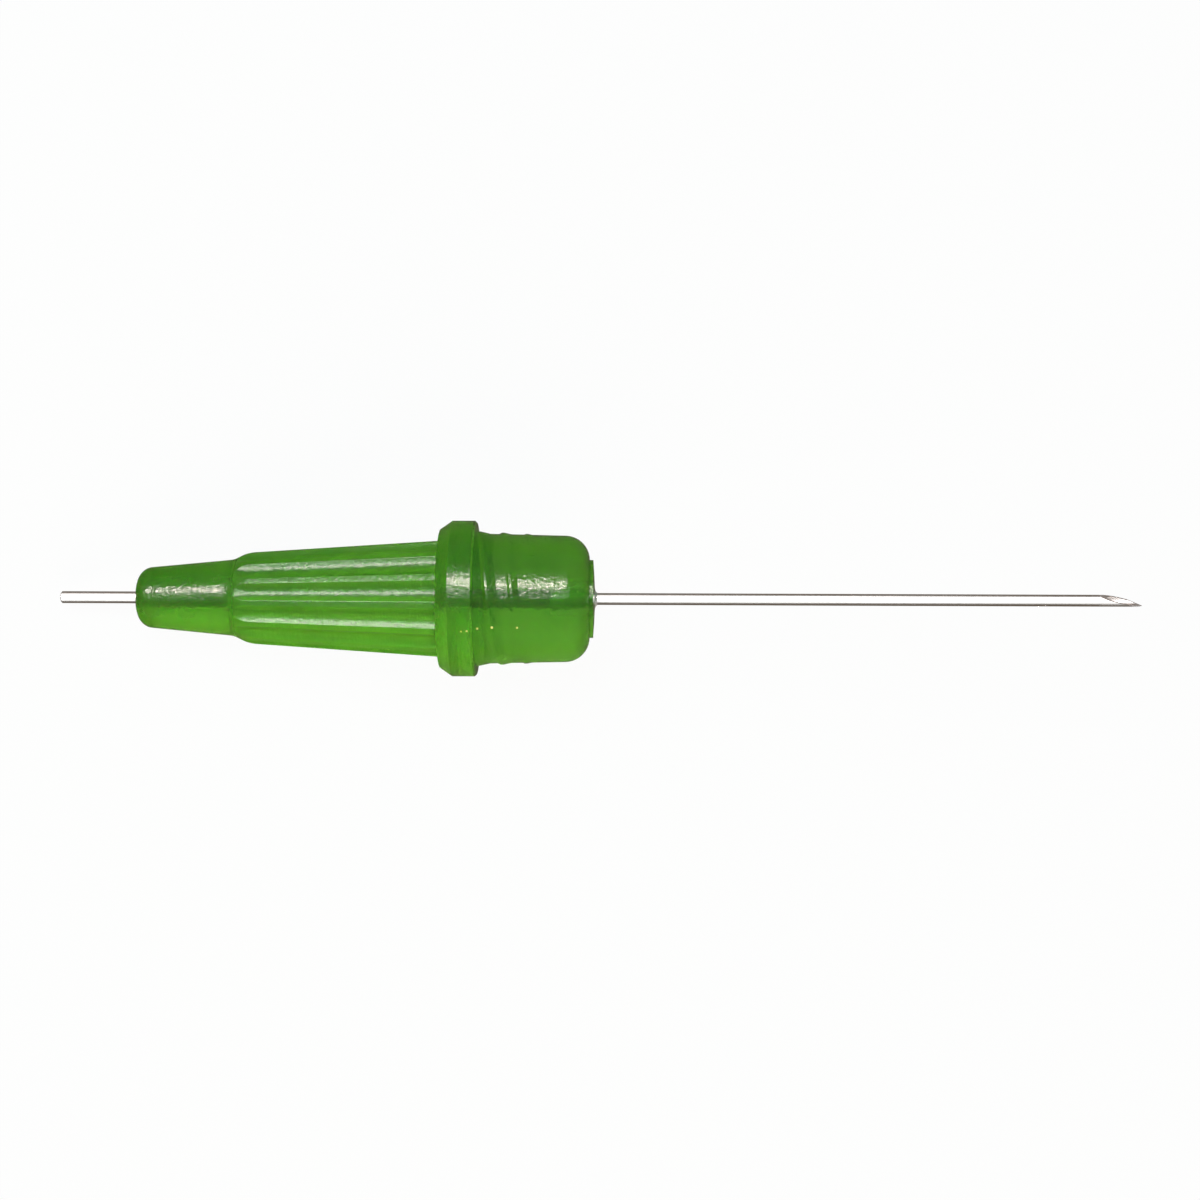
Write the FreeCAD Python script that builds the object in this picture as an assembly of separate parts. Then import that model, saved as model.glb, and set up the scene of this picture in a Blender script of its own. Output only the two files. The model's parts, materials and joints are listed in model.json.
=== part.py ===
import FreeCAD
import Part
import math
import os
from FreeCAD import Placement, Rotation, Vector

# Double-ended blood collection needle with a moulded screw-in hub, in millimetres.
# Each piece is built about the needle's own axis: +X runs to the bevelled point,
# +Z is up, and x = 0 is the collar face that seats in a tube holder. The whole is
# then laid down as it comes to rest on a table, on the collar's rim and the end of
# the nose, with the bevelled point in the air.

# cannula: one steel tube that runs right through the hub
cannula_diameter = 0.82
cannula_lumen = 0.56
point_reach = 38.0
stub_reach = 5.4
stub_end_break = 0.06

# lancet point: a long bevel with a small grind on each side of its tip
bevel_length = 3.1
bevel_turn = 55.0
side_grind_length = 1.05
side_grind_turn = 35.0

# threaded boss that screws into the holder, with a crowned pad on its end
boss_length = 7.82
boss_shoulder_radius = 4.66
boss_shoulder_length = 0.65
boss_root_radius = 4.5
boss_tip_radius = 4.34
boss_corner_radius = 1.7
pad_radius = 2.7
pad_height = 0.24
pad_crown = 0.12

# low two-start thread that fades out along the boss
thread_starts = 2
thread_pitch = 1.65
thread_length = 3.9
thread_height = 0.13
thread_fade_angle = 1.5
thread_steep_flank = 0.28
thread_crest = 0.14
thread_gentle_flank = 0.6
thread_root_depth = 0.25
thread_crest_from_seat = 1.8

# collar
collar_radius = 5.39
collar_thickness = 2.5
collar_bevel_length = 0.84
collar_bevel_depth = 0.58
collar_seat_break = 0.12

# fluted grip, shoulder and smooth nose
grip_length = 13.23
grip_large_radius = 4.05
grip_small_radius = 3.17
rib_count = 13
rib_width_angle = 7.2
rib_edge_fillet = 0.07
flute_depth_large = 0.38
flute_depth_small = 0.30
flute_turn = 7.1
shoulder_length = 1.05
shoulder_outer_fillet = 2.6
shoulder_inner_fillet = 1.2
nose_length = 6.58
nose_large_radius = 2.65
nose_small_radius = 2.02
nose_end_fillet = 1.0

# passage for the cannula, and the cured glue that holds it
bore_clearance = 0.02
well_radius = 0.75
well_depth = 3.0
glue_climb = 0.14
glue_lip = 0.04
glue_hollow = 0.3

# how far a tool or a joined solid runs past the face it meets
overrun = 0.6

# places along the axis, worked out from the sizes above
axis = Vector(1, 0, 0)
origin = Vector(0, 0, 0)
cannula_radius = cannula_diameter / 2.0
pad_face = boss_length + pad_height
pad_top = pad_face + pad_crown
point_end = pad_top + point_reach
collar_back = -collar_thickness
collar_rim = collar_back + collar_bevel_length
grip_end = collar_back - grip_length
shoulder_end = grip_end - shoulder_length
nose_end = shoulder_end - nose_length
stub_end = nose_end - stub_reach
rib_pitch_angle = 360.0 / rib_count


def at(x, r):
    """Point of a half outline, at x along the axis and r above it."""
    return Vector(x, 0, r)


def line(start, end):
    return Part.LineSegment(start, end).toShape()


def arc(start, middle, end):
    return Part.Arc(start, middle, end).toShape()


def half_outline(corners):
    """Edges of a closed outline from (x, r, fillet) corners, each fillet an arc."""
    edges = []
    last_end = None
    first_start = None
    for index, (x, r, fillet) in enumerate(corners):
        corner = at(x, r)
        start = corner
        end = corner
        if fillet > 0:
            before = at(*corners[index - 1][:2]) - corner
            after = at(*corners[(index + 1) % len(corners)][:2]) - corner
            before.normalize()
            after.normalize()
            half_angle = before.getAngle(after) / 2.0
            reach = fillet / math.tan(half_angle)
            inward = before + after
            inward.normalize()
            start = corner + before * reach
            end = corner + after * reach
            middle = corner + inward * (fillet / math.sin(half_angle) - fillet)
        if last_end is not None:
            edges.append(line(last_end, start))
        if fillet > 0:
            edges.append(arc(start, middle, end))
        if first_start is None:
            first_start = start
        last_end = end
    edges.append(line(last_end, first_start))
    return edges


def turned(edges):
    """Solid of revolution about the needle's axis."""
    return Part.Face(Part.Wire(edges)).revolve(origin, axis, 360)


def rod(radius, start, end):
    return Part.makeCylinder(radius, end - start, at(start, 0), axis)


def half_space(point, normal, size):
    """Block that fills the side of a plane towards which its normal points."""
    block = Part.makeBox(size, size, size, Vector(-size / 2.0, -size / 2.0, 0))
    block.Placement = Placement(point, Rotation(Vector(0, 0, 1), normal))
    return block


def make_collar_and_boss():
    """Collar and boss in one outline, and the crown of the pad on the boss."""
    body = turned(half_outline([
        (collar_back, 0, 0),
        (collar_back, collar_radius - collar_bevel_depth, 0),
        (collar_rim, collar_radius, 0),
        (-collar_seat_break, collar_radius, 0),
        (0, collar_radius - collar_seat_break, 0),
        (0, boss_shoulder_radius, 0),
        (boss_shoulder_length, boss_root_radius, 0),
        (boss_length, boss_tip_radius, boss_corner_radius),
        (boss_length, pad_radius, 0),
        (pad_face, pad_radius, 0),
        (pad_face, 0, 0),
    ]))
    crown_radius = (pad_radius ** 2 + pad_crown ** 2) / (2.0 * pad_crown)
    crown_side = Vector(pad_face, 0, pad_radius)
    middle_radius = pad_radius / 2.0
    crown_drop = crown_radius - math.sqrt(crown_radius ** 2 - middle_radius ** 2)
    crown = turned([
        arc(crown_side, at(pad_top - crown_drop, middle_radius), at(pad_top, 0)),
        line(at(pad_top, 0), at(pad_face, 0)),
        line(at(pad_face, 0), crown_side),
    ])
    return body.fuse(crown)


def make_thread_ridges():
    """One swept ridge for each start; it fades because its cone is steeper than the boss."""
    lead = thread_pitch * thread_starts
    boss_slope = (boss_root_radius - boss_tip_radius) / (boss_length - boss_shoulder_length)
    ridge_slope = boss_slope + math.tan(math.radians(thread_fade_angle))
    ridge_run = thread_length - boss_shoulder_length
    foot_radius = boss_root_radius - thread_root_depth - ridge_slope * ridge_run
    path = Part.makeHelix(
        lead, thread_length + overrun, foot_radius, math.degrees(math.atan(ridge_slope)))
    crest_out = thread_root_depth + thread_height
    half_crest = thread_crest / 2.0
    gentle_foot = -half_crest - thread_gentle_flank
    steep_foot = half_crest + thread_steep_flank
    section = [
        (0, gentle_foot),
        (thread_root_depth, gentle_foot),
        (crest_out, -half_crest),
        (crest_out, half_crest),
        (thread_root_depth, steep_foot),
        (0, steep_foot),
        (0, gentle_foot),
    ]
    profile = Part.makePolygon([Vector(foot_radius + out, 0, along) for out, along in section])
    ridge = Part.Wire(path.Edges).makePipeShell([profile], True, True)
    # the path climbs +Z from the faded end, and on the boss it climbs towards the collar
    ridge.Placement = Placement(at(thread_length, 0), Rotation(Vector(0, 1, 0), -90))
    turns_to_crest = (thread_length - thread_crest_from_seat) / lead
    ridges = []
    for index in range(thread_starts):
        copy = ridge.copy()
        copy.rotate(origin, axis, 360.0 * (turns_to_crest + index / thread_starts) - 90.0)
        ridges.append(copy)
    return ridges


def flute_radius(outer_radius, depth):
    """Radius of a round flute of this depth that leaves ribs of the set width."""
    half_angle = math.radians(rib_pitch_angle - rib_width_angle) / 2.0
    floor = outer_radius - depth
    edge_height = outer_radius * math.cos(half_angle)
    return (outer_radius ** 2 + floor ** 2 - 2.0 * floor * edge_height) / (2.0 * (edge_height - floor))


def make_flute_cutter():
    """Tapered round bar along the grip, which leaves the hub at the shoulder."""
    large = flute_radius(grip_large_radius, flute_depth_large)
    small = flute_radius(grip_small_radius, flute_depth_small)
    large_height = grip_large_radius - flute_depth_large + large
    small_height = grip_small_radius - flute_depth_small + small
    before = overrun / grip_length
    after = (shoulder_length + overrun) / grip_length
    start = at(collar_back + overrun, large_height + (large_height - small_height) * before)
    end = at(shoulder_end - overrun, small_height - (large_height - small_height) * after)
    run = end - start
    cutter = Part.makeCone(
        large + (large - small) * before, small - (large - small) * after, run.Length, start, run)
    # the cone's seam is turned away from the hub
    cutter.rotate(start, run, 180)
    return cutter


def flute_rims(shank, embedded_end):
    """Edges round each flute, without the one on the end that the collar hides."""
    rims = []
    for face in shank.Faces:
        on_flute = face.Surface.TypeId == "Part::GeomCone" and face.Surface.Center.cross(axis).Length > 1e-6
        if on_flute:
            rims.extend(edge for edge in face.Edges if edge.BoundBox.XMin < embedded_end - 1e-4)
    return rims


def make_shank():
    """Fluted grip, shoulder and nose, with every flute's rim rounded."""
    embedded_end = collar_back + overrun / 2.0
    grip_slope = (grip_large_radius - grip_small_radius) / grip_length
    blank = turned(half_outline([
        (embedded_end, 0, 0),
        (embedded_end, grip_large_radius + grip_slope * overrun / 2.0, 0),
        (grip_end, grip_small_radius, shoulder_outer_fillet),
        (shoulder_end, nose_large_radius, shoulder_inner_fillet),
        (nose_end, nose_small_radius, nose_end_fillet),
        (nose_end, 0, 0),
    ]))
    cutters = []
    for index in range(rib_count):
        cutter = make_flute_cutter()
        cutter.rotate(origin, axis, (index + 0.5) * rib_pitch_angle)
        cutters.append(cutter)
    fluted = blank.cut(cutters)
    shank = fluted.makeFillet(rib_edge_fillet, flute_rims(fluted, embedded_end))
    shank.rotate(origin, axis, rib_pitch_angle / 2.0 - flute_turn)
    return shank


def make_hub():
    """The whole moulding, bored for the cannula and counterbored for the glue."""
    hub = make_collar_and_boss().fuse(make_thread_ridges()).fuse(make_shank())
    bore = rod(cannula_radius + bore_clearance, nose_end - overrun, pad_top + overrun)
    well = rod(well_radius, pad_face - well_depth, pad_top + overrun)
    return hub.cut([bore, well]).removeSplitter().Solids[0]


def make_glue():
    """Cured glue that fills the well and climbs the cannula in a small hollow fillet."""
    floor = pad_face - well_depth
    lip = glue_lip + cannula_radius
    return turned(half_outline([
        (floor, cannula_radius, 0),
        (floor, well_radius, 0),
        (pad_top, well_radius, 0),
        (pad_top + glue_climb * glue_hollow, lip + (well_radius - lip) * glue_hollow, 0),
        (pad_top + glue_climb, lip, 0),
        (pad_top + glue_climb, cannula_radius, 0),
    ]))


def point_grinds():
    """The long bevel and the two side grinds, all through the tip, with the bevel facing up."""
    tip = Vector(point_end, 0, -cannula_radius)
    bevel_slope = cannula_diameter / bevel_length
    grinds = [half_space(tip, Vector(bevel_slope, 0, 1), 2.0 * bevel_length)]
    wall_height = side_grind_length * bevel_slope - cannula_radius
    wall_side = math.sqrt(cannula_radius ** 2 - wall_height ** 2)
    turn = math.radians(side_grind_turn)
    side_slope = bevel_slope * math.cos(turn) + math.sin(turn) * wall_side / side_grind_length
    for side in (-1, 1):
        normal = Vector(side_slope, side * math.sin(turn), math.cos(turn))
        grinds.append(half_space(tip, normal, 2.0 * bevel_length))
    return grinds


def make_cannula():
    """Tube with a broken edge on the stub and the lancet point on the long end."""
    tube = rod(cannula_radius, stub_end, point_end)
    end_edge = [e for e in tube.Edges if e.BoundBox.XMax < stub_end + 1e-6]
    tube = tube.makeChamfer(stub_end_break, end_edge)
    tube = tube.cut(rod(cannula_lumen / 2.0, stub_end - overrun, point_end + overrun))
    tube = tube.cut(point_grinds())
    tube.rotate(origin, axis, -bevel_turn)
    return tube.Solids[0]


def rest_tilt():
    """Angle of the line that touches the collar's rim and the rounded end of the nose."""
    nose_slope = (nose_large_radius - nose_small_radius) / nose_length
    round_x = nose_end + nose_end_fillet
    round_r = nose_small_radius + nose_end_fillet * (nose_slope - math.hypot(1.0, nose_slope))
    along = collar_rim - round_x
    drop = collar_radius - round_r
    return math.acos(nose_end_fillet / math.hypot(along, drop)) - math.atan2(along, drop)


def lay_down(shapes):
    """Tilt the needle nose down on to z = 0 and centre it over the origin."""
    tilt = rest_tilt()
    lift = collar_radius * math.cos(tilt) - collar_rim * math.sin(tilt)
    for shape in shapes:
        shape.rotate(origin, Vector(0, 1, 0), -math.degrees(tilt))
        shape.translate(Vector(0, 0, lift))
    span = Part.makeCompound(shapes).optimalBoundingBox(False, False)
    shift = -(span.XMin + span.XMax) / 2.0
    for shape in shapes:
        shape.translate(Vector(shift, 0, 0))
    return tilt, Vector(shift, 0, lift)


def main():
    os.makedirs("parts", exist_ok=True)
    pieces = {
        "hub": make_hub(),
        "cannula": make_cannula(),
        "adhesive_plug": make_glue(),
    }
    tilt, seat = lay_down(list(pieces.values()))
    print("tilt", round(math.degrees(tilt), 4), "collar seat at", [round(c, 4) for c in seat])
    for name, shape in pieces.items():
        shape.exportStep("parts/" + name + ".step")
        print(name, shape.isValid(), round(shape.Volume, 4))


main()
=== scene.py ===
import bmesh
import bpy
import json
import math
from mathutils import Matrix, Vector


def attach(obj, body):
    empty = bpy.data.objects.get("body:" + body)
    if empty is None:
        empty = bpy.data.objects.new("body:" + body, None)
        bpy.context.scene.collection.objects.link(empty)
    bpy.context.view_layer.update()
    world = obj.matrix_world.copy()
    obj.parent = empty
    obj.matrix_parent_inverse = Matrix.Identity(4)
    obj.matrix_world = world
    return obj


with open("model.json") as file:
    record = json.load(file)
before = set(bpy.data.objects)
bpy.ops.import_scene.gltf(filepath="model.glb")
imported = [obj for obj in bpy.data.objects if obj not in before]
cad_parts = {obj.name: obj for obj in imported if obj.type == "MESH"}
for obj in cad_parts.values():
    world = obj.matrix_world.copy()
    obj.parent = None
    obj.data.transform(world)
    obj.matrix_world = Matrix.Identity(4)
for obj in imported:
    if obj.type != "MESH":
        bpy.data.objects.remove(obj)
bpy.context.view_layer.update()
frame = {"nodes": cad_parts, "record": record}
scene = bpy.context.scene
scene.view_settings.view_transform = "Standard"
mm = 0.001
print("frame loaded:", sorted(frame["nodes"]))

# the needle's own axis rises towards the point, and x = 0 is the collar's seat
threadMount = [m for m in frame["record"]["mounts"] if m["name"] == "holder_thread"][0]
alongNeedle = Vector(threadMount["axis"]).normalized()
aboveNeedle = Vector((-alongNeedle.z, 0.0, alongNeedle.x))
acrossNeedle = Vector((0.0, 1.0, 0.0))
threadMiddle = 1.95 * mm
collarSeat = Vector(threadMount["pos_m"]) - alongNeedle * threadMiddle


def needlePoint(x, y=0.0, z=0.0):
    return collarSeat + alongNeedle * x + acrossNeedle * y + aboveNeedle * z


# camera, square on to the needle and looking down on it
photoView = {
    "frameWidth": 83.16 * mm,
    "distance": 125.0 * mm,
    "middle": 8.53 * mm,
    "drop": 0.07 * mm,
    "roll": 0.2,
    "sensor": 36.0,
    "clip": (0.001, 20.0),
}


def makeCamera(v):
    lens = bpy.data.cameras.new("photoCamera")
    lens.sensor_width = v["sensor"]
    lens.lens = v["sensor"] * v["distance"] / v["frameWidth"]
    lens.clip_start, lens.clip_end = v["clip"]
    camera = bpy.data.objects.new("photoCamera", lens)
    bpy.context.collection.objects.link(camera)
    roll = Matrix.Rotation(math.radians(v["roll"]), 3, aboveNeedle)
    axes = Matrix((roll @ alongNeedle, roll @ acrossNeedle, aboveNeedle)).transposed().to_4x4()
    place = needlePoint(v["middle"], -v["drop"]) + aboveNeedle * v["distance"]
    camera.matrix_world = Matrix.Translation(place) @ axes
    scene.camera = camera


makeCamera(photoView)
print("camera set")

# pale floor and soft studio light
studio = {
    "worldStrength": 0.22,
    "floorSize": 3.0,
    "floorColor": (0.62, 0.62, 0.62),
    "cameraShare": 0.95,
    "glossShare": 1.0,
    "glossGlow": (0.14, 0.115, 0.09),
    "throughShare": 0.0,
}
# the hub's highlight, its general light, and boards that only the steel shows
rosy = (1.0, 0.82, 0.8)
lamps = {
    "softPanel": {
        "lean": 23.0, "along": -0.095, "width": 0.21, "length": 0.34, "distance": 0.45,
        "power": 0.74, "color": rosy, "rays": ("glossy",),
    },
    "brightStrip": {
        "lean": 25.0, "along": -0.095, "width": 0.04, "length": 0.34, "distance": 0.44,
        "power": 1.9, "color": rosy, "rays": ("glossy",),
    },
    "keyPanel": {
        "lean": 20.0, "along": -0.095, "width": 0.29, "length": 0.34, "distance": 0.46,
        "power": 1.75, "color": (0.78, 1.0, 0.98), "rays": ("diffuse", "transmission"),
    },
    "fillPanel": {
        "lean": -65.0, "along": 0.0, "width": 0.3, "length": 0.6, "distance": 0.5,
        "power": 3.25, "color": (1.0, 0.9, 0.7), "rays": ("diffuse",),
    },
    "steelTop": {
        "lean": 0.0, "along": 0.0, "width": 0.9, "length": 0.8, "distance": 0.47,
        "power": 2.4, "rays": ("glossy",), "only": "cannula",
    },
    "steelFar": {
        "lean": 50.0, "along": 0.0, "width": 0.45, "length": 0.8, "distance": 0.5,
        "power": 1.2, "rays": ("glossy",), "only": "cannula",
    },
    "steelNear": {
        "lean": -50.0, "along": 0.0, "width": 0.45, "length": 0.8, "distance": 0.5,
        "power": 1.2, "rays": ("glossy",), "only": "cannula",
    },
}
lampAim = -6.0 * mm


def makeWorld(s):
    world = bpy.data.worlds.new("paleStudio")
    world.use_nodes = True
    nodes, links = world.node_tree.nodes, world.node_tree.links
    sky = nodes["Background"]
    sky.inputs["Color"].default_value = (1.0, 1.0, 1.0, 1.0)
    # white where the camera sees it, and dimmer as a light
    path = nodes.new("ShaderNodeLightPath")
    strength = nodes.new("ShaderNodeMath")
    strength.operation = "MAXIMUM"
    strength.inputs[1].default_value = s["worldStrength"]
    links.new(path.outputs["Is Camera Ray"], strength.inputs[0])
    links.new(strength.outputs[0], sky.inputs["Strength"])
    scene.world = world


def makeLamp(name, s):
    lamp = bpy.data.lights.new(name, "AREA")
    lamp.shape = "RECTANGLE"
    lamp.size = s["length"]
    lamp.size_y = s["width"]
    lamp.energy = s["power"]
    lamp.color = s.get("color", (1.0, 1.0, 1.0))
    panel = bpy.data.objects.new(name, lamp)
    bpy.context.collection.objects.link(panel)
    lean = math.radians(s["lean"])
    outward = aboveNeedle * math.cos(lean) + acrossNeedle * math.sin(lean)
    place = needlePoint(s["along"]) + outward * s["distance"]
    facing = (place - needlePoint(lampAim)).normalized()
    side = facing.cross(alongNeedle).normalized()
    axes = Matrix((side.cross(facing), side, facing)).transposed().to_4x4()
    panel.matrix_world = Matrix.Translation(place) @ axes
    for ray in ("diffuse", "glossy", "transmission"):
        setattr(panel, "visible_" + ray, ray in s["rays"])
    if "only" in s:
        lit = bpy.data.collections.new(name)
        lit.objects.link(frame["nodes"][s["only"]])
        panel.light_linking.receiver_collection = lit


def makeFloor(s):
    half = s["floorSize"] / 2.0
    mesh = bpy.data.meshes.new("paleFloor")
    corners = [(-half, -half, 0.0), (half, -half, 0.0), (half, half, 0.0), (-half, half, 0.0)]
    mesh.from_pydata(corners, [], [(0, 1, 2, 3)])
    floor = bpy.data.objects.new("paleFloor", mesh)
    bpy.context.collection.objects.link(floor)
    material = bpy.data.materials.new("paleFloor")
    material.use_nodes = True
    nodes, links = material.node_tree.nodes, material.node_tree.links
    nodes.clear()
    output = nodes.new("ShaderNodeOutputMaterial")
    paint = nodes.new("ShaderNodeBsdfDiffuse")
    paint.inputs["Color"].default_value = (*s["floorColor"], 1.0)
    glow = nodes.new("ShaderNodeEmission")
    path = nodes.new("ShaderNodeLightPath")
    # a glossy ray that went through nothing, such as one off the steel or the plastic's skin
    mirror = nodes.new("ShaderNodeMath")
    mirror.operation = "SUBTRACT"
    mirror.use_clamp = True
    links.new(path.outputs["Is Glossy Ray"], mirror.inputs[0])
    links.new(path.outputs["Is Transmission Ray"], mirror.inputs[1])
    tone = nodes.new("ShaderNodeMix")
    tone.data_type = "RGBA"
    tone.inputs["A"].default_value = (1.0, 1.0, 1.0, 1.0)
    tone.inputs["B"].default_value = (*s["glossGlow"], 1.0)
    links.new(mirror.outputs[0], tone.inputs["Factor"])
    links.new(tone.outputs["Result"], glow.inputs["Color"])
    share = None
    shares = (
        (path.outputs["Is Camera Ray"], "cameraShare"),
        (mirror.outputs[0], "glossShare"),
        (path.outputs["Is Transmission Ray"], "throughShare"),
    )
    for ray, value in shares:
        part = nodes.new("ShaderNodeMath")
        part.operation = "MULTIPLY"
        part.inputs[1].default_value = s[value]
        links.new(ray, part.inputs[0])
        if share is None:
            share = part
            continue
        both = nodes.new("ShaderNodeMath")
        both.operation = "MAXIMUM"
        links.new(share.outputs[0], both.inputs[0])
        links.new(part.outputs[0], both.inputs[1])
        share = both
    mix = nodes.new("ShaderNodeMixShader")
    links.new(share.outputs[0], mix.inputs["Fac"])
    links.new(paint.outputs[0], mix.inputs[1])
    links.new(glow.outputs[0], mix.inputs[2])
    links.new(mix.outputs[0], output.inputs["Surface"])
    mesh.materials.append(material)


makeWorld(studio)
for lampName, lampRow in lamps.items():
    makeLamp(lampName, lampRow)
makeFloor(studio)
print("studio set")


def newMaterial(name):
    material = bpy.data.materials.new(name)
    material.use_nodes = True
    nodes = material.node_tree.nodes
    return material, nodes, material.node_tree.links, nodes["Principled BSDF"]


def mathNode(nodes, links, operation, first, second=0.0, third=0.0):
    node = nodes.new("ShaderNodeMath")
    node.operation = operation
    for socket, value in zip(node.inputs, (first, second, third)):
        if isinstance(value, float):
            socket.default_value = value
        else:
            links.new(value, socket)
    return node.outputs[0]


def rampNode(nodes, links, factor, stops):
    node = nodes.new("ShaderNodeValToRGB")
    ramp = node.color_ramp
    while len(ramp.elements) < len(stops):
        ramp.elements.new(0.5)
    for element, (place, color) in zip(ramp.elements, stops):
        element.position = place
        element.color = (*color, 1.0)
    links.new(factor, node.inputs["Fac"])
    return node.outputs["Color"]


def blendNode(nodes, links, factor, first, second):
    node = nodes.new("ShaderNodeMix")
    node.data_type = "FLOAT"
    links.new(factor, node.inputs["Factor"])
    node.inputs["A"].default_value = first
    node.inputs["B"].default_value = second
    return node.outputs["Result"]


def rangeNode(nodes, links, value, start, end):
    node = nodes.new("ShaderNodeMapRange")
    node.inputs["From Min"].default_value = start
    node.inputs["From Max"].default_value = end
    links.new(value, node.inputs["Value"])
    return node.outputs["Result"]


def bumpNode(nodes, links, height, depth):
    node = nodes.new("ShaderNodeBump")
    node.inputs["Strength"].default_value = 1.0
    node.inputs["Distance"].default_value = depth
    links.new(height, node.inputs["Height"])
    return node.outputs["Normal"]


cloudGrain = {"scale": 260.0, "detail": 2.0}


def surfaceGroup(cloudRow):
    # place along the needle, uneven relief that can be drawn out along or around it, and broad clouds
    group = bpy.data.node_groups.new("needleSurface", "ShaderNodeTree")
    group.interface.new_socket("Stretch", in_out="INPUT", socket_type="NodeSocketVector")
    for name in ("Scale", "Detail"):
        group.interface.new_socket(name, in_out="INPUT", socket_type="NodeSocketFloat")
    for name in ("Along", "Height", "Cloud"):
        group.interface.new_socket(name, in_out="OUTPUT", socket_type="NodeSocketFloat")
    nodes, links = group.nodes, group.links
    taken = nodes.new("NodeGroupInput")
    given = nodes.new("NodeGroupOutput")
    place = nodes.new("ShaderNodeTexCoord")
    level = nodes.new("ShaderNodeMapping")
    level.vector_type = "TEXTURE"
    level.inputs["Location"].default_value = collarSeat
    level.inputs["Rotation"].default_value = (0.0, -math.atan2(alongNeedle.z, alongNeedle.x), 0.0)
    links.new(place.outputs["Object"], level.inputs["Vector"])
    parts = nodes.new("ShaderNodeSeparateXYZ")
    links.new(level.outputs["Vector"], parts.inputs[0])
    links.new(parts.outputs["X"], given.inputs["Along"])
    drawn = nodes.new("ShaderNodeVectorMath")
    drawn.operation = "MULTIPLY"
    links.new(level.outputs["Vector"], drawn.inputs[0])
    links.new(taken.outputs["Stretch"], drawn.inputs[1])
    relief = nodes.new("ShaderNodeTexNoise")
    links.new(drawn.outputs["Vector"], relief.inputs["Vector"])
    links.new(taken.outputs["Scale"], relief.inputs["Scale"])
    links.new(taken.outputs["Detail"], relief.inputs["Detail"])
    links.new(relief.outputs["Fac"], given.inputs["Height"])
    cloud = nodes.new("ShaderNodeTexNoise")
    cloud.inputs["Scale"].default_value = cloudRow["scale"]
    cloud.inputs["Detail"].default_value = cloudRow["detail"]
    links.new(level.outputs["Vector"], cloud.inputs["Vector"])
    links.new(cloud.outputs["Fac"], given.inputs["Cloud"])
    return group


needleSurface = surfaceGroup(cloudGrain)


def surfaceNode(nodes, stretch, scale, detail):
    node = nodes.new("ShaderNodeGroup")
    node.node_tree = needleSurface
    node.inputs["Stretch"].default_value = stretch
    node.inputs["Scale"].default_value = scale
    node.inputs["Detail"].default_value = detail
    return node.outputs


# where the grip begins and ends along the needle
gripSpan = {"shoulder": (-17.2 * mm, -16.2 * mm), "collar": (-2.8 * mm, -2.0 * mm)}


def gripMask(nodes, links, along):
    started = rangeNode(nodes, links, along, *gripSpan["shoulder"])
    ended = rangeNode(nodes, links, along, *gripSpan["collar"])
    return mathNode(nodes, links, "SUBTRACT", started, ended)


# each noise row holds its stretch, scale and detail
hubLook = {
    "stops": ((0.3, (0.135, 0.43, 0.034)), (0.7, (0.175, 0.49, 0.044))),
    "thinStops": ((0.3, (0.185, 0.55, 0.04)), (0.7, (0.235, 0.62, 0.052))),
    "thinEnd": (-0.6 * mm, 0.6 * mm),
    "roughness": (0.12, 0.2),
    "gripRoughness": (0.285, 0.32),
    "skin": ((1.0, 1.0, 1.0), 4200.0, 2.0),
    "rings": ((1.0, 0.12, 0.12), 3600.0, 2.0),
    "skinShare": 1.2,
    "ringShare": 1.2,
    "depth": 0.03 * mm,
    "through": 0.83,
    "gloss": 0.25,
    "streaks": ((0.22, 1.0, 1.0), 5200.0, 2.0),
    "streakRange": (0.45, 0.62),
    "gripGloss": (0.02, 0.26),
    "ior": 1.49,
    "scatter": 1.5 * mm,
    "scatterRange": (0.4, 1.0, 0.2),
}


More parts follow.
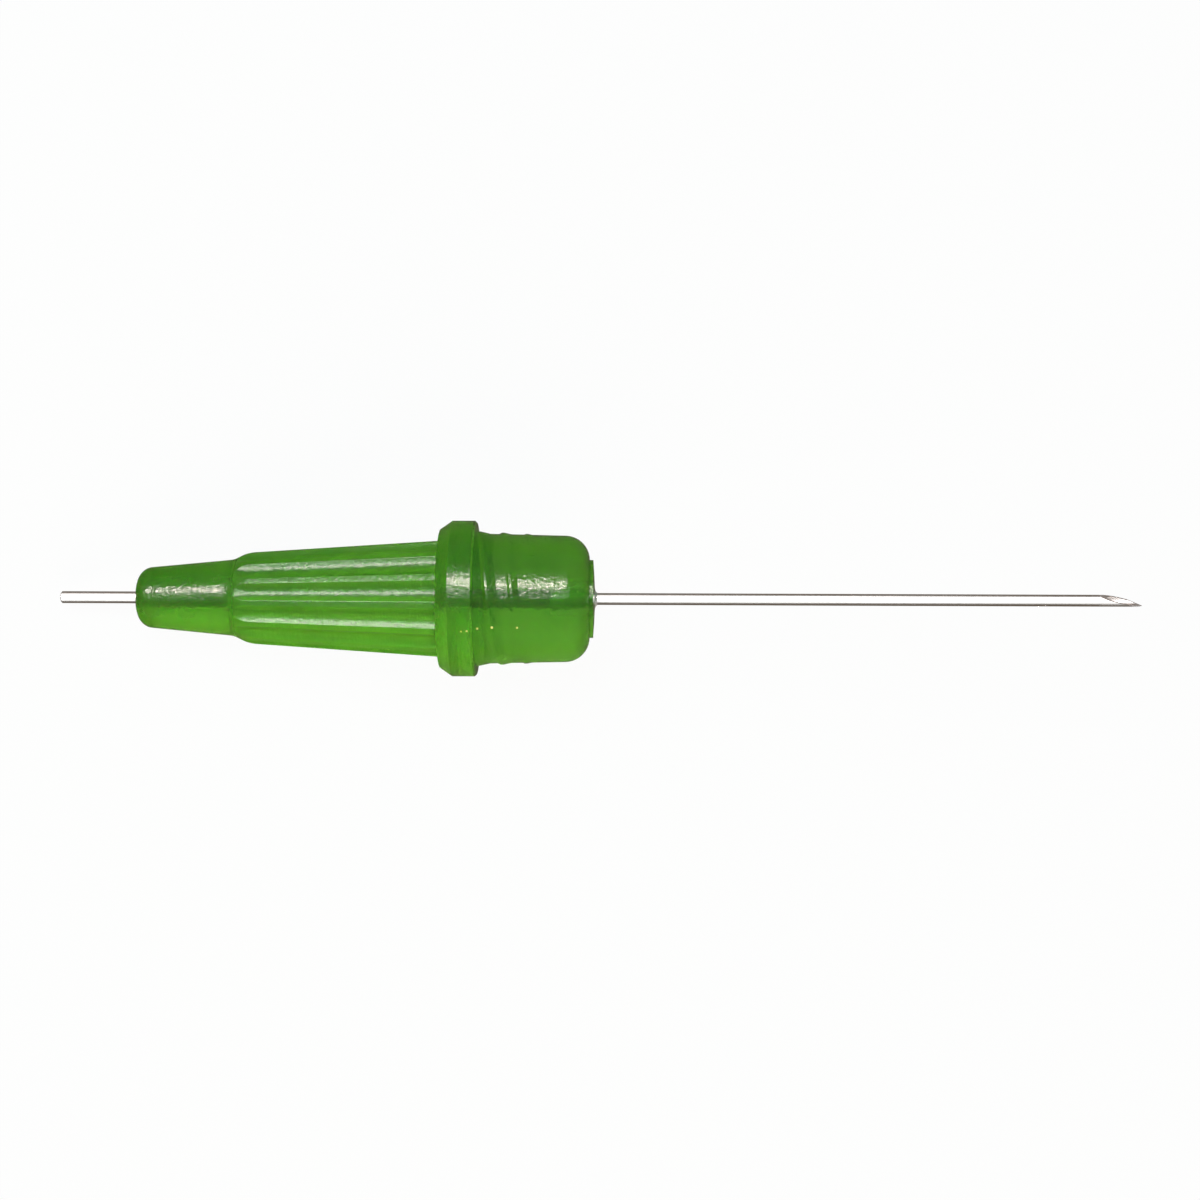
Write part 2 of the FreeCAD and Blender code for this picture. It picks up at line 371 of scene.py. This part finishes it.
def hubPlastic(s):
    material, nodes, links, shader = newMaterial("hubPlastic")
    skin = surfaceNode(nodes, *s["skin"])
    rings = surfaceNode(nodes, *s["rings"])
    # grip and nose are thinner than the boss, and let more light through
    thick = rangeNode(nodes, links, skin["Along"], *s["thinEnd"])
    color = nodes.new("ShaderNodeMix")
    color.data_type = "RGBA"
    links.new(thick, color.inputs["Factor"])
    links.new(rampNode(nodes, links, skin["Cloud"], s["thinStops"]), color.inputs["A"])
    links.new(rampNode(nodes, links, skin["Cloud"], s["stops"]), color.inputs["B"])
    links.new(color.outputs["Result"], shader.inputs["Base Color"])
    rough = nodes.new("ShaderNodeMix")
    links.new(gripMask(nodes, links, skin["Along"]), rough.inputs["Factor"])
    links.new(blendNode(nodes, links, skin["Cloud"], *s["roughness"]), rough.inputs["A"])
    links.new(blendNode(nodes, links, skin["Cloud"], *s["gripRoughness"]), rough.inputs["B"])
    links.new(rough.outputs["Result"], shader.inputs["Roughness"])
    height = mathNode(nodes, links, "MULTIPLY", skin["Height"], s["skinShare"])
    height = mathNode(nodes, links, "MULTIPLY_ADD", rings["Height"], s["ringShare"], height)
    links.new(bumpNode(nodes, links, height, s["depth"]), shader.inputs["Normal"])
    shader.inputs["IOR"].default_value = s["ior"]
    shader.inputs["Transmission Weight"].default_value = s["through"]
    # the highlights on the grip are broken into streaks
    streaks = surfaceNode(nodes, *s["streaks"])
    broken = rangeNode(nodes, links, streaks["Height"], *s["streakRange"])
    gloss = nodes.new("ShaderNodeMix")
    gloss.inputs["A"].default_value = s["gloss"]
    links.new(gripMask(nodes, links, skin["Along"]), gloss.inputs["Factor"])
    links.new(blendNode(nodes, links, broken, *s["gripGloss"]), gloss.inputs["B"])
    links.new(gloss.outputs["Result"], shader.inputs["Specular IOR Level"])
    shader.inputs["Subsurface Weight"].default_value = 1.0
    shader.inputs["Subsurface Radius"].default_value = s["scatterRange"]
    shader.inputs["Subsurface Scale"].default_value = s["scatter"]
    return material


steelLook = {
    "stops": ((0.35, (0.86, 0.845, 0.82)), (0.65, (0.95, 0.94, 0.92))),
    "rim": (0.5, 0.34, 0.22),
    "drawn": ((0.02, 1.0, 1.0), 9000.0, 3.0),
    "ground": ((1.0, 0.1, 0.1), 9000.0, 1.0),
    "bevelStart": 43.08 * mm,
    "roughness": (0.285, 0.34),
    "bevelRoughness": 0.42,
    "depth": 0.002 * mm,
}


def needleSteel(s):
    material, nodes, links, shader = newMaterial("needleSteel")
    drawn = surfaceNode(nodes, *s["drawn"])
    ground = surfaceNode(nodes, *s["ground"])
    bevel = mathNode(nodes, links, "GREATER_THAN", drawn["Along"], s["bevelStart"])
    links.new(rampNode(nodes, links, drawn["Height"], s["stops"]), shader.inputs["Base Color"])
    rough = blendNode(nodes, links, drawn["Cloud"], *s["roughness"])
    bevelRough = mathNode(nodes, links, "MULTIPLY", bevel, s["bevelRoughness"])
    rough = mathNode(nodes, links, "MAXIMUM", rough, bevelRough)
    links.new(rough, shader.inputs["Roughness"])
    plain = mathNode(nodes, links, "SUBTRACT", 1.0, bevel)
    height = mathNode(nodes, links, "MULTIPLY", drawn["Height"], plain)
    height = mathNode(nodes, links, "MULTIPLY_ADD", ground["Height"], bevel, height)
    links.new(bumpNode(nodes, links, height, s["depth"]), shader.inputs["Normal"])
    shader.inputs["Metallic"].default_value = 1.0
    shader.inputs["Specular Tint"].default_value = (*s["rim"], 1.0)
    return material


glueLook = {
    "stops": ((0.3, (0.86, 0.87, 0.9)), (0.7, (0.96, 0.96, 0.98))),
    "skin": ((1.0, 1.0, 1.0), 3000.0, 2.0),
    "roughness": (0.06, 0.14),
    "depth": 0.01 * mm,
    "ior": 1.5,
    "through": 0.55,
}


def curedGlue(s):
    material, nodes, links, shader = newMaterial("curedGlue")
    skin = surfaceNode(nodes, *s["skin"])
    links.new(rampNode(nodes, links, skin["Height"], s["stops"]), shader.inputs["Base Color"])
    links.new(blendNode(nodes, links, skin["Height"], *s["roughness"]), shader.inputs["Roughness"])
    links.new(bumpNode(nodes, links, skin["Height"], s["depth"]), shader.inputs["Normal"])
    shader.inputs["IOR"].default_value = s["ior"]
    shader.inputs["Transmission Weight"].default_value = s["through"]
    return material


# colours of the painted shade sleeve: dark at the nose and boss, lighter along the grip
paintedShadeLook = {
    "stops": ((0.3, (0.015, 0.06, 0.02)), (0.7, (0.03, 0.1, 0.035))),
    "gripStops": ((0.3, (0.11, 0.3, 0.05)), (0.7, (0.16, 0.38, 0.07))),
    "skin": ((0.1, 1.0, 1.0), 5000.0, 2.0),
    "roughness": (0.35, 0.5),
}


def paintedShadeSurface(s):
    material, nodes, links, shader = newMaterial("paintedShadeSurface")
    skin = surfaceNode(nodes, *s["skin"])
    # painted shade, darker at the nose and boss and lighter along the grip
    color = nodes.new("ShaderNodeMix")
    color.data_type = "RGBA"
    links.new(gripMask(nodes, links, skin["Along"]), color.inputs["Factor"])
    links.new(rampNode(nodes, links, skin["Height"], s["stops"]), color.inputs["A"])
    links.new(rampNode(nodes, links, skin["Height"], s["gripStops"]), color.inputs["B"])
    links.new(color.outputs["Result"], shader.inputs["Base Color"])
    links.new(blendNode(nodes, links, skin["Cloud"], *s["roughness"]), shader.inputs["Roughness"])
    return material


def dress(node, material):
    frame["nodes"][node].data.materials.clear()
    frame["nodes"][node].data.materials.append(material)


dress("hub", hubPlastic(hubLook))
dress("cannula", needleSteel(steelLook))
dress("adhesive_plug", curedGlue(glueLook))
print("materials on")

# painted shade: a dark sleeve between the steel and the hub, seen through the hub as the dark line of
# the steel's shaded underside
paintedShadeSleeve = {
    "start": -23.0 * mm,
    "end": 7.9 * mm,
    "radius": 0.445 * mm,
    "inner": 0.435 * mm,
    "sides": 48,
    "sharp": 30.0,
}


def makePaintedShadeSleeve(s):
    # a closed sleeve of painted shade: out along the outer wall and back along the inner one
    rings = (
        (s["start"], s["radius"]),
        (s["end"], s["radius"]),
        (s["end"], s["inner"]),
        (s["start"], s["inner"]),
    )
    corners, faces = [], []
    for x, radius in rings:
        for i in range(s["sides"]):
            turn = math.tau * i / s["sides"]
            corners.append(needlePoint(x, radius * math.cos(turn), radius * math.sin(turn)))
    for ring in range(len(rings)):
        first = ring * s["sides"]
        second = (ring + 1) % len(rings) * s["sides"]
        for i in range(s["sides"]):
            j = (i + 1) % s["sides"]
            faces.append((first + j, second + j, second + i, first + i))
    mesh = bpy.data.meshes.new("paintedShadeSleeve")
    mesh.from_pydata(corners, [], faces)
    for face in mesh.polygons:
        face.use_smooth = True
    mesh.set_sharp_from_angle(angle=math.radians(s["sharp"]))
    sleeve = bpy.data.objects.new("paintedShadeSleeve", mesh)
    bpy.context.collection.objects.link(sleeve)
    mesh.materials.append(paintedShadeSurface(paintedShadeLook))
    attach(sleeve, "root")


makePaintedShadeSleeve(paintedShadeSleeve)
print("sleeve in")

# painted glints: small pale amber dots in the plastic near the collar, standing in for sparkles of
# light off the thread; each has its place along and across the needle, its distance from the needle's
# axis and its own radius, in mm
paintedGlints = {
    "places": (
        (-0.72, -2.2, 5.37, 0.07),
        (-0.34, -2.17, 5.37, 0.08),
        (0.3, -2.02, 4.6, 0.08),
        (1.29, -1.94, 4.6, 0.09),
        (2.96, -1.95, 4.5, 0.08),
    ),
    "flat": 0.35,
    "rings": 8,
    "sides": 14,
}
# colours of the painted glints, from pale amber to light yellow
paintedGlintLook = {
    "stops": ((0.35, (0.62, 0.42, 0.06)), (0.65, (0.9, 0.8, 0.35))),
    "skin": ((1.0, 1.0, 1.0), 9000.0, 2.0),
    "roughness": (0.2, 0.35),
}


def paintedGlintSurface(s):
    material, nodes, links, shader = newMaterial("paintedGlintSurface")
    skin = surfaceNode(nodes, *s["skin"])
    # painted glint colour
    links.new(rampNode(nodes, links, skin["Height"], s["stops"]), shader.inputs["Base Color"])
    links.new(blendNode(nodes, links, skin["Height"], *s["roughness"]), shader.inputs["Roughness"])
    return material


def makePaintedGlints(s):
    shape = bmesh.new()
    for x, side, reach, size in s["places"]:
        out = (acrossNeedle * side + aboveNeedle * math.sqrt(reach ** 2 - side ** 2)).normalized()
        axes = Matrix((alongNeedle, out.cross(alongNeedle), out * s["flat"])).transposed().to_4x4()
        place = Matrix.Translation(needlePoint(x * mm) + out * reach * mm) @ axes
        bmesh.ops.create_uvsphere(
            shape, u_segments=s["sides"], v_segments=s["rings"], radius=size * mm, matrix=place
        )
    for face in shape.faces:
        face.smooth = True
    mesh = bpy.data.meshes.new("hubPaintedGlints")
    shape.to_mesh(mesh)
    shape.free()
    piece = bpy.data.objects.new("hubPaintedGlints", mesh)
    bpy.context.collection.objects.link(piece)
    mesh.materials.append(paintedGlintSurface(paintedGlintLook))
    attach(piece, "root")


makePaintedGlints(paintedGlints)
print("flecks in")
